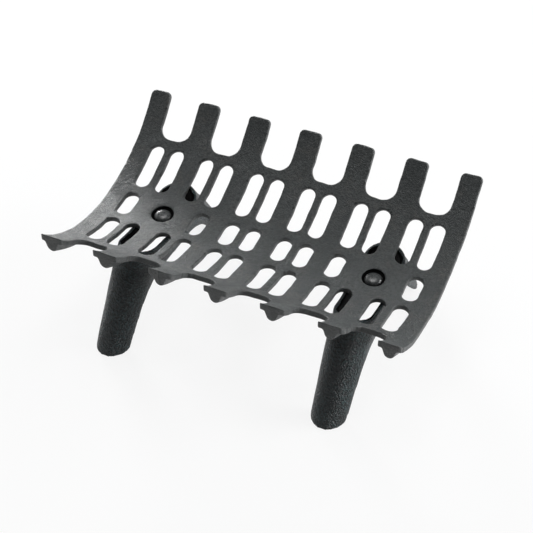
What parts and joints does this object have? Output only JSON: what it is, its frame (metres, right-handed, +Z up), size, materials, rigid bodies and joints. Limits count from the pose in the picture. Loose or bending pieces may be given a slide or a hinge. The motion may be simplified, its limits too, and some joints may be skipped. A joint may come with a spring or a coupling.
{
  "type": "log grate",
  "caption": "Curved cast iron log grate with slotted bed, fingers along both long edges and two bolted arched legs.",
  "frame": {"origin": "on the hearth, under the middle of the grate's bounding box", "axes": "+X along the width of the bed across the hearth, +Y to the back of the hearth, +Z up"},
  "size_m": [0.508, 0.3437, 0.2122],
  "materials": {
    "bed_iron": "bare casting, satin, fine grain",
    "leg_iron": "black paint over a fine cast grain, satin",
    "bolt_black": "black oxide, semi-gloss",
    "zinc_steel": "dull zinc plate"
  },
  "bodies": {
    "root": {"bed": "bed_iron", "leg_left": "leg_iron", "leg_right": "leg_iron", "bolt_left": "bolt_black", "bolt_right": "bolt_black", "washer_left": "zinc_steel", "washer_right": "zinc_steel", "nut_left": "zinc_steel", "nut_right": "zinc_steel"}
  },
  "joints": []
}
